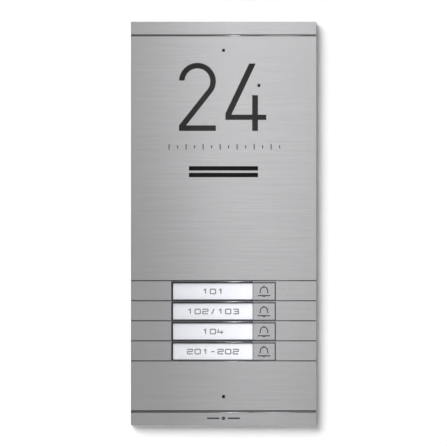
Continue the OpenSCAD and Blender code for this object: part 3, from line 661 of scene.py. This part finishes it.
def add_boss(bm, centre, axis, r, r_top, height):
    """A low round boss on the plane through centre, standing along axis and narrower at its top."""
    turn = Vector((0, 0, 1)).rotation_difference(Vector(axis)).to_matrix().to_4x4()
    place = Matrix.Translation(Vector(centre) + Vector(axis) * height / 2) @ turn
    bmesh.ops.create_cone(bm, cap_ends=True, segments=20, radius1=r, radius2=r_top, depth=height,
                          matrix=place)


# Paint in the engraved marks
ENGRAVING_DEPTH = 0.25
ENGRAVED_Y = lo.y / MM + ENGRAVING_DEPTH
SAME_PLANE = 0.01
PAINT_T = 0.03


def engraving_paint(node, name, body):
    """A copy of each engraving's floor, with the thickness of a coat of paint."""
    bm = bmesh.new()
    source = nodes[node].data
    made = {}
    floor = [p for p in source.polygons
             if all(abs(source.vertices[v].co.y / MM - ENGRAVED_Y) < SAME_PLANE for v in p.vertices)]
    for p in floor:
        corners = []
        for v in p.vertices:
            co = source.vertices[v].co / MM
            key = (round(co.x, 3), round(co.z, 3))
            if key not in made:
                made[key] = bm.verts.new((co.x, ENGRAVED_Y + SAME_PLANE, co.z))
            corners.append(made[key])
        if len(set(corners)) == len(corners):
            bm.faces.new(corners)
    bmesh.ops.dissolve_limit(bm, angle_limit=math.radians(1), verts=bm.verts, edges=bm.edges)
    thicken(bm, bm.faces[:], -PAINT_T)
    piece(name, bm, "dark_ink", body)


engraving_paint("front_plate", "plate_mark_paint", "root")
for i in ROWS:
    engraving_paint(f"key_cap_{i}", f"bell_paint_{i}", f"key_{i}")

# Label windows: a clear plate with chamfered edges, and a flat number printed on its rear face
LENS_CORNER_R = 0.7
LENS_CORNER_LEAST = 0.25
LENS_CHAMFER = 0.3
LENS_REAR_CHAMFER = 0.15
LENS_GAP = 0.05
# Thickness of printed ink, here and on the boards, and its gap from the window
PRINT_T = 0.02
PRINT_LIFT = 0.01
NUMERAL_CORNER_R = 0.8
NUMBER_H, NUMBER_W, NUMBER_PITCH, NUMBER_STROKE = 4.2, 4.9, 7.0, 1.15
# Each stroke's points, as shares of a numeral's width and height
NUMERALS = {
    "0": [[(0.5, 0.0), (0.0, 0.0), (0.0, 1.0), (1.0, 1.0), (1.0, 0.0), (0.5, 0.0)]],
    "1": [[(0.18, 0.76), (0.56, 1.0), (0.56, 0.0)]],
    "2": [[(0.0, 0.80), (0.0, 1.0), (1.0, 1.0), (1.0, 0.52), (0.0, 0.52), (0.0, 0.0), (1.0, 0.0)]],
    "3": [[(0.0, 1.0), (1.0, 1.0), (1.0, 0.0), (0.0, 0.0)], [(0.2, 0.52), (0.9, 0.52)]],
    "4": [[(0.1, 1.0), (0.0, 0.35), (1.0, 0.35)], [(0.72, 0.75), (0.72, 0.0)]],
    "/": [[(0.25, -0.1), (0.75, 1.1)]],
    "-": [[(0.2, 0.5), (0.8, 0.5)]],
}
FLATS = {1: "101", 2: "102/103", 3: "104", 4: "201-202"}


def label_lens(i):
    """A clear plate; each level of its edge is a depth and how far the outline is drawn in there."""
    low, high = box_mm(f"label_lens_{i}")
    cx, cz = middle_of(low, high)
    w, h = high.x - low.x, high.z - low.z
    rear = high.y - LENS_GAP
    levels = [(low.y, LENS_CHAMFER), (low.y + LENS_CHAMFER * 0.3, LENS_CHAMFER * 0.3),
              (low.y + LENS_CHAMFER, 0.0), (rear - LENS_REAR_CHAMFER, 0.0), (rear, LENS_REAR_CHAMFER)]
    bm = bmesh.new()
    rings = []
    for y, inset in levels:
        corner = max(LENS_CORNER_LEAST, LENS_CORNER_R - inset)
        outline = round_rect(cx, cz, w - 2 * inset, h - 2 * inset, corner)
        rings.append([bm.verts.new((x, y, z)) for x, z in outline])
    for a, b in zip(rings, rings[1:]):
        join_rings(bm, a, b)
    bm.faces.new(rings[0][::-1])
    bm.faces.new(rings[-1])
    piece(f"label_window_{i}", bm, "clear_plastic", replaces=[f"label_lens_{i}"])


def label_number(i):
    """The flat's number, in plain strokes on the window's rear face."""
    low, high = box_mm(f"label_lens_{i}")
    cx, cz = middle_of(low, high)
    y1 = high.y - LENS_GAP + PRINT_LIFT
    bm = bmesh.new()
    text = FLATS[i]
    for k, digit in enumerate(text):
        x0 = cx + (k - (len(text) - 1) / 2) * NUMBER_PITCH - NUMBER_W / 2
        z0 = cz - NUMBER_H / 2
        for line in NUMERALS[digit]:
            points = [(x0 + u * NUMBER_W, z0 + v * NUMBER_H) for u, v in line]
            path = points if digit in "14" else rounded_path(points, NUMERAL_CORNER_R)
            add_stroke(bm, path, NUMBER_STROKE, y1, y1 + PRINT_T)
    piece(f"label_number_{i}", bm, "print_ink")


for i in ROWS:
    label_lens(i)
    label_number(i)

# Key springs: drawn wire with closed ends, which shorten as the key goes in
SPRING_TURNS = 4.5
SPRING_STEPS = 24
SPRING_SIDES = 10
WIRE_R = 0.35
# Share of the wire that lies flat at each end, and how far those ends tilt, in wire radii
FLAT_END = 0.11
END_TILT = 0.12


def key_spring(i):
    """Wound wire between the key's stem and its seat."""
    low, high = box_mm(f"key_spring_{i}")
    cx, cz = middle_of(*box_mm(f"key_stem_{i}"))
    r = (high.x - low.x) / 2 - WIRE_R
    y0, y1 = low.y + WIRE_R, high.y - WIRE_R
    path = []
    total = int(SPRING_TURNS * SPRING_STEPS)
    for k in range(total + 1):
        rise = min(1.0, max(0.0, (k / total - FLAT_END) / (1 - 2 * FLAT_END)))
        a = 2 * math.pi * k / SPRING_STEPS
        y = y0 + (y1 - y0) * rise + WIRE_R * END_TILT * math.sin(a)
        path.append((cx + r * math.cos(a), y, cz + r * math.sin(a)))
    bm = bmesh.new()
    add_tube(bm, path, WIRE_R, SPRING_SIDES)
    obj = piece(f"return_spring_{i}", bm, "spring_steel", replaces=[f"key_spring_{i}"])
    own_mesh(obj)


for i in ROWS:
    key_spring(i)

# Speaker mesh: black woven wire behind the sound slots, with a flat border
WIRE_PITCH = 1.2
MESH_WIRE_R = 0.12
MESH_WIRE_SIDES = 6
WEAVE = 0.055
BORDER_W = 1.2
BORDER_CORNER_R = 1.0
CLOTH_T = 0.04
CLOTH_STEP = 2.0
CLOTH_RIPPLE = 0.012
RIPPLES_PER_STEP = 0.4


def speaker_weave():
    """Wires along X and along Z that pass over and under each other in turn."""
    low, high = box_mm("speaker_mesh")
    cx, cz = middle_of(low, high)
    w, h = high.x - low.x, high.z - low.z
    mid = low.y + WEAVE + MESH_WIRE_R
    bm = bmesh.new()
    columns = int((w - 2) / WIRE_PITCH)
    rows = int((h - 2) / WIRE_PITCH)
    x0 = cx - columns * WIRE_PITCH / 2
    z0 = cz - rows * WIRE_PITCH / 2

    def depth(k, wire, way):
        """The wire's depth at its k-th half pitch: over, between or under the wires that cross it."""
        if k % 2:
            return mid
        return mid + way * (WEAVE if (k // 2 + wire) % 2 else -WEAVE)

    for r in range(rows + 1):
        z = z0 + r * WIRE_PITCH
        path = [(x0 + k * WIRE_PITCH / 2, depth(k, r, 1), z) for k in range(2 * columns + 1)]
        add_tube(bm, path, MESH_WIRE_R, MESH_WIRE_SIDES)
    for c in range(columns + 1):
        x = x0 + c * WIRE_PITCH
        path = [(x, depth(k, c, -1), z0 + k * WIRE_PITCH / 2) for k in range(2 * rows + 1)]
        add_tube(bm, path, MESH_WIRE_R, MESH_WIRE_SIDES)
    border = round_rect(cx, cz, w - BORDER_W, h - BORDER_W, BORDER_CORNER_R)
    add_stroke(bm, border, BORDER_W, low.y, high.y - CLOTH_T, closed=True)
    piece("speaker_weave", bm, "black_mesh", replaces=["speaker_mesh"])


def speaker_cloth():
    """Acoustic cloth behind the wires, very slightly rippled at its front."""
    low, high = box_mm("speaker_mesh")
    cx, cz = middle_of(low, high)
    columns = int((high.x - low.x - 1) / CLOTH_STEP)
    rows = int((high.z - low.z - 1) / CLOTH_STEP)
    x0 = cx - columns * CLOTH_STEP / 2
    z0 = cz - rows * CLOTH_STEP / 2
    bm = bmesh.new()
    rims = []
    for y, ripple in ((high.y - CLOTH_T, CLOTH_RIPPLE), (high.y, 0.0)):
        sheet = []
        for r in range(rows + 1):
            row = []
            for c in range(columns + 1):
                wave = noise.noise((c * RIPPLES_PER_STEP, y, r * RIPPLES_PER_STEP))
                row.append(bm.verts.new((x0 + c * CLOTH_STEP, y + ripple * wave, z0 + r * CLOTH_STEP)))
            sheet.append(row)
        for a, b in zip(sheet, sheet[1:]):
            for c in range(columns):
                bm.faces.new((a[c], a[c + 1], b[c + 1], b[c]))
        left = [row[0] for row in sheet]
        right = [row[-1] for row in sheet]
        rims.append(left + sheet[-1][1:] + right[-2::-1] + sheet[0][-2:0:-1])
    join_rings(bm, *rims)
    piece("speaker_cloth", bm, "acoustic_cloth")


speaker_weave()
speaker_cloth()

# Microphone: a domed felt disc keeps water out of the sound channel
FELT_R = 1.22
FELT_T = 0.5
FELT_GAP = 0.02
# The disc's rounding, as shares of its radius and thickness
FELT_PROFILE = ((1.0, 0.0), (1.0, 0.7), (0.8, 0.95), (0.0, 1.0))


def mic_felt():
    """The disc lies just in front of the capsule."""
    low, high = box_mm("mic_capsule")
    y0 = low.y - FELT_GAP
    profile = [(FELT_R * r, y0 - FELT_T * rise) for r, rise in FELT_PROFILE]
    bm = bmesh.new()
    add_turned(bm, *middle_of(low, high), profile, 24)
    piece("mic_felt", bm, "acoustic_cloth")


mic_felt()

# Circuit boards: solder joints, chip legs, printed outlines, and the yellow windows of the lamps
MAIN_LOW, MAIN_HIGH = box_mm("main_board")
# A part thinner than this is a chip with legs; a thicker one has pins through the board
CHIP_T = 2.0
LEG_PITCH, LEG_W, LEG_T, LEG_REACH, LEG_ROOT = 1.27, 0.45, 0.15, 1.2, 0.2
PIN_PITCH, PIN_INSET = 2.5, 2.2
JOINT_R, JOINT_H, JOINT_STEPS = 0.95, 0.9, 12
# A joint's taper, as shares of its radius and height
JOINT_PROFILE = ((1.0, 0.0), (0.6, 0.3), (0.4, 0.8), (0.3, 1.0))
PRINT_LINE, PRINT_CLEAR, PRINT_CORNER_R = 0.25, 0.9, 0.5
parts = solids_of("board_components")
front_parts = [box for box in parts if box[0].y < MAIN_LOW.y]
rear_parts = [box for box in parts if box[1].y > MAIN_HIGH.y]
trimmers = solids_of("trimmer_housings")
terminals = solids_of("terminal_screws")


def is_chip(low, high):
    """Whether a part is thin enough to be a chip."""
    return high.y - low.y < CHIP_T


def chip_legs():
    """Bent legs down both sides of each chip, from half its height to the board."""
    bm = bmesh.new()
    for low, high in [box for box in parts if is_chip(*box)]:
        board, body = (MAIN_LOW.y, low.y) if low.y < MAIN_LOW.y else (MAIN_HIGH.y, high.y)
        middle = (board + body) / 2
        up = (board - body) / abs(board - body) * LEG_T
        count = int((high.z - low.z) / LEG_PITCH)
        for side, x in ((-1, low.x), (1, high.x)):
            for k in range(count):
                z = (low.z + high.z) / 2 + (k - (count - 1) / 2) * LEG_PITCH
                path = [(x - side * LEG_ROOT, middle, z), (x + side * LEG_REACH * 0.3, middle, z),
                        (x + side * LEG_REACH * 0.5, board - up, z), (x + side * LEG_REACH, board - up, z)]
                add_strip(bm, path, Vector((0, 0, 1)), LEG_W, LEG_T)
    piece("chip_legs", bm, "solder")


def clear_of(x, z, boxes):
    """Whether a solder joint there would keep off every part."""
    return all(not (low.x - JOINT_R < x < high.x + JOINT_R and low.z - JOINT_R < z < high.z + JOINT_R)
               for low, high in boxes)


def solder_joints():
    """A joint on the far face of the board for each pin of the parts that go through it."""
    front, rear = [], []
    for boxes, pin_offsets in ((terminals, (-PIN_PITCH, PIN_PITCH)), (trimmers, (-PIN_PITCH, 0.0))):
        for low, high in boxes:
            cx, cz = middle_of(low, high)
            front += [(cx, cz + offset) for offset in pin_offsets]
    for low, high in front_parts:
        if not is_chip(low, high):
            cx, cz = middle_of(low, high)
            reach = (high.x - low.x) / 2 - PIN_INSET
            rear += [(cx - reach, cz), (cx + reach, cz)]
    behind = rear_parts + trimmers + [box_mm("terminal_block")]
    bm = bmesh.new()
    for pins, face, way, busy in ((front, MAIN_LOW.y, -1, front_parts), (rear, MAIN_HIGH.y, 1, behind)):
        for x, z in [p for p in pins if clear_of(*p, busy)]:
            profile = [(JOINT_R * r, face + way * JOINT_H * up) for r, up in JOINT_PROFILE]
            add_turned(bm, x, z, profile, JOINT_STEPS)
    piece("solder_joints", bm, "solder")


def board_print():
    """White outlines round the parts on both faces of the main board."""
    bm = bmesh.new()
    for boxes, y0, y1 in ((front_parts, MAIN_LOW.y - PRINT_T, MAIN_LOW.y),
                          (rear_parts + trimmers, MAIN_HIGH.y, MAIN_HIGH.y + PRINT_T)):
        for low, high in boxes:
            w = high.x - low.x + 2 * (PRINT_CLEAR + (LEG_REACH if is_chip(low, high) else 0))
            h = high.z - low.z + 2 * PRINT_CLEAR
            outline = round_rect(*middle_of(low, high), w, h, PRINT_CORNER_R, 2)
            add_stroke(bm, outline, PRINT_LINE, y0, y1, closed=True)
    piece("board_print", bm, "board_print")


LAMP_DOME = 0.12
LAMP_SINK = 0.02
LAMP_SHARE = 0.36


def lamp_windows():
    """A low dome on the front of each lamp."""
    bm = bmesh.new()
    for low, high in solids_of("leds"):
        r = (high.x - low.x) * LAMP_SHARE
        profile = [(r, low.y + LAMP_SINK), (r * 0.92, low.y - LAMP_DOME * 0.5),
                   (r * 0.6, low.y - LAMP_DOME * 0.9), (0.0, low.y - LAMP_DOME)]
        add_turned(bm, *middle_of(low, high), profile, 20)
    piece("lamp_windows", bm, "phosphor")


chip_legs()
solder_joints()
board_print()
lamp_windows()

# Flush box: flaps folded over at the four corners, each held by two spot welds, and welds down its sides
FLAP_W, FLAP_T, FLAP_IN, FLAP_EDGE = 17.0, 0.8, 1.5, 0.3
WELD_R, WELD_TOP_R, WELD_H = 2.3, 1.7, 0.22
# Where the two welds of a pair lie, as shares of the box's depth
WELD_SHARES = (0.28, 0.72)
BOX_LOW, BOX_HIGH = box_mm("flush_box")
BOX_CORNERS = [(side, x, way, z) for side, x in ((-1, BOX_LOW.x), (1, BOX_HIGH.x))
               for way, z in ((-1, BOX_LOW.z), (1, BOX_HIGH.z))]


def box_flaps():
    """The flap at each corner lies on the box's top or bottom wall."""
    bm = bmesh.new()
    for side, x, way, z in BOX_CORNERS:
        near, far = sorted((x, x - side * FLAP_W))
        under, over = sorted((z, z + way * FLAP_T))
        add_block(bm, (near, BOX_LOW.y + FLAP_IN, under), (far, BOX_HIGH.y - FLAP_IN, over), FLAP_EDGE)
    piece("box_flaps", bm, "galvanised_steel")


def spot_welds():
    """A pair of welds on each flap, and a pair round the corner on the side wall."""
    bm = bmesh.new()
    for side, x, way, z in BOX_CORNERS:
        for share in WELD_SHARES:
            y = BOX_LOW.y + share * (BOX_HIGH.y - BOX_LOW.y)
            on_flap = (x - side * FLAP_W / 2, y, z + way * FLAP_T)
            on_side = (x, y, z - way * FLAP_W / 2)
            add_boss(bm, on_flap, (0, 0, way), WELD_R, WELD_TOP_R, WELD_H)
            add_boss(bm, on_side, (side, 0, 0), WELD_R, WELD_TOP_R, WELD_H)
    piece("spot_welds", bm, "weld_metal")


box_flaps()
spot_welds()

# ---------------------------------------------------------------- stage, light and camera


def plain(name, color):
    """Matt paint with no gloss."""
    s = Shader(name, color, 0.0, 0.9, Specular_IOR_Level=0.0)
    return s.bump(s.grain(0.4, 2.0), 0.01).material


def add_sheet(name, corners, material):
    """A flat part of the stage."""
    mesh = bpy.data.meshes.new(name)
    mesh.from_pydata(corners, [], [tuple(range(len(corners)))])
    obj = bpy.data.objects.new(name, mesh)
    obj.data.materials.append(material)
    bpy.context.scene.collection.objects.link(obj)


def one_sided(material):
    """Clears the back of a wall or floor, so that it never hides the object from behind or below."""
    tree = material.node_tree
    out = tree.nodes["Material Output"]
    front = out.inputs["Surface"].links[0].from_socket
    mix = tree.nodes.new("ShaderNodeMixShader")
    side = tree.nodes.new("ShaderNodeNewGeometry")
    through = tree.nodes.new("ShaderNodeBsdfTransparent")
    tree.links.new(side.outputs["Backfacing"], mix.inputs[0])
    tree.links.new(front, mix.inputs[1])
    tree.links.new(through.outputs[0], mix.inputs[2])
    tree.links.new(mix.outputs[0], out.inputs["Surface"])
    return material


WALL_HALF, WALL_TOP = 1.6, 0.9
# The wall lies a hair in front of the gasket's rear face, so that the two never share a plane
WALL_Y = -0.0003
FLOOR_HALF, FLOOR_Z = 4.0, lo.z - 0.6
WALL_CORNERS = [(x, WALL_Y, z) for x, z in ((-WALL_HALF, FLOOR_Z), (WALL_HALF, FLOOR_Z),
                                            (WALL_HALF, WALL_TOP), (-WALL_HALF, WALL_TOP))]
FLOOR_CORNERS = [(x * FLOOR_HALF, y * FLOOR_HALF, FLOOR_Z) for x, y in ((-1, -1), (1, -1), (1, 1), (-1, 1))]
add_sheet("wall", WALL_CORNERS, one_sided(plain("wall_white", (0.92, 0.92, 0.92))))
add_sheet("floor", FLOOR_CORNERS, one_sided(plain("floor_white", (0.5, 0.5, 0.5))))


def aim(obj, place, target):
    """Puts a light or the camera at its place and turns it to the target."""
    obj.location = place
    obj.rotation_mode = "QUATERNION"
    obj.rotation_quaternion = (Vector(target) - Vector(place)).to_track_quat("-Z", "Y")


def soft_box(name, place, target, size, radiance, gloss_only=True, seen=False):
    """A rectangular light of even radiance; most of them show only as reflections in glossy things."""
    data = bpy.data.lights.new(name, "AREA")
    data.shape = "RECTANGLE"
    data.size, data.size_y = size
    data.energy = radiance * math.pi * size[0] * size[1]
    obj = bpy.data.objects.new(name, data)
    bpy.context.scene.collection.objects.link(obj)
    aim(obj, place, target)
    obj.visible_camera = seen
    obj.visible_diffuse = not gloss_only


def sun(name, direction, strength, angle):
    """A broad far light for the wall and the matt parts; the metal mirrors only the boxes and the studio."""
    data = bpy.data.lights.new(name, "SUN")
    data.energy = strength
    data.angle = math.radians(angle)
    obj = bpy.data.objects.new(name, data)
    bpy.context.scene.collection.objects.link(obj)
    obj.visible_glossy = False
    aim(obj, (0, 0, 0), direction)


sun("key", (0.78, 1.0, -0.95), 4.35, 50)

# Soft panels in front, which the brushed face mirrors; each is a step nearer than the one before it
PANEL_Y, PANEL_STEP = -1.1, 0.02
PANELS = (
    ("panel_centre", 0.05, 0.50, (0.22, 0.9), 0.25),
    ("panel_left", -0.05, 0.50, (0.20, 0.9), 0.30),
    ("panel_right", 0.16, 0.60, (0.16, 0.7), 0.50),
    ("panel_middle", 0.07, 0.02, (0.22, 0.36), 0.45),
    ("panel_lower", 0.05, -0.24, (0.12, 0.16), 0.42),
)
for k, (name, x, z, size, radiance) in enumerate(PANELS):
    soft_box(name, (x, PANEL_Y + k * PANEL_STEP, z), (x, 0, z), size, radiance)
soft_box("backdrop", (0, -FLOOR_HALF, 0.2), (0, 0, 0.2), (16.0, 10.0), 0.34, seen=True)

# Strips above, which light the grooves' lower edges; the narrow one makes their brightest spot
OVER_Y, OVER_Z, OVER_LENGTH = -0.34, 0.45, 0.33
for name, x, width, radiance in (("over_narrow", 0.0122, 0.008, 26.0), ("over_broad", 0.062, 0.036, 5.0)):
    soft_box(name, (x, OVER_Y, OVER_Z), (x, OVER_Y, 0), (width, OVER_LENGTH), radiance)
soft_box("overhead", (0, -0.75, 1.15), (0, 0, 0.1), (1.1, 0.5), 1.1)
for name, x in (("side_left", -1.05), ("side_right", 1.05)):
    soft_box(name, (x, -1.25, -0.1), (0, 0, -0.1), (0.35, 1.3), 0.75)
soft_box("rear_box", (-2.6, 0.9, 1.3), (0, 0, 0), (1.0, 1.0), 22.0, gloss_only=False)
soft_box("rear_strip", (1.6, 0.55, -0.2), (0, 0, 0), (0.3, 1.6), 3.5)


def studio_world(front, side, back):
    """Dimmest where the front face looks, a little brighter beside it, and brightest behind the wall."""
    world = bpy.data.worlds.new("studio")
    bpy.context.scene.world = world
    world.use_nodes = True
    tree = world.node_tree
    place = tree.nodes.new("ShaderNodeTexCoord")
    split = tree.nodes.new("ShaderNodeSeparateXYZ")
    total = tree.nodes.new("ShaderNodeMath")
    tree.links.new(place.outputs["Generated"], split.inputs[0])
    rises = ((-0.98, -0.35, front, side), (-0.22, 0.06, 0.0, back - side))
    for socket, (start, end, low, high) in zip(total.inputs, rises):
        level = tree.nodes.new("ShaderNodeMapRange")
        level.interpolation_type = "SMOOTHSTEP"
        set_range(level, start, end, low, high)
        tree.links.new(split.outputs["Y"], level.inputs["Value"])
        tree.links.new(level.outputs["Result"], socket)
    ground = tree.nodes["Background"]
    ground.inputs["Color"].default_value = (1, 1, 1, 1)
    tree.links.new(total.outputs[0], ground.inputs["Strength"])


studio_world(0.09, 0.15, 0.45)

# A long lens, straight in front; the view is this wide, in metres, at the plate's face
bpy.context.scene.view_settings.view_transform = "Standard"
VIEW_WIDTH = 0.4099
LENS, SENSOR = 200.0, 36.0
camera = bpy.data.objects.new("camera", bpy.data.cameras.new("camera"))
bpy.context.scene.collection.objects.link(camera)
camera.data.lens = LENS
camera.data.sensor_width = SENSOR
camera.data.clip_end = 50
middle_z = (lo.z + hi.z) / 2
aim(camera, (0, lo.y - VIEW_WIDTH * LENS / SENSOR, middle_z), (0, 0, middle_z))
bpy.context.scene.camera = camera
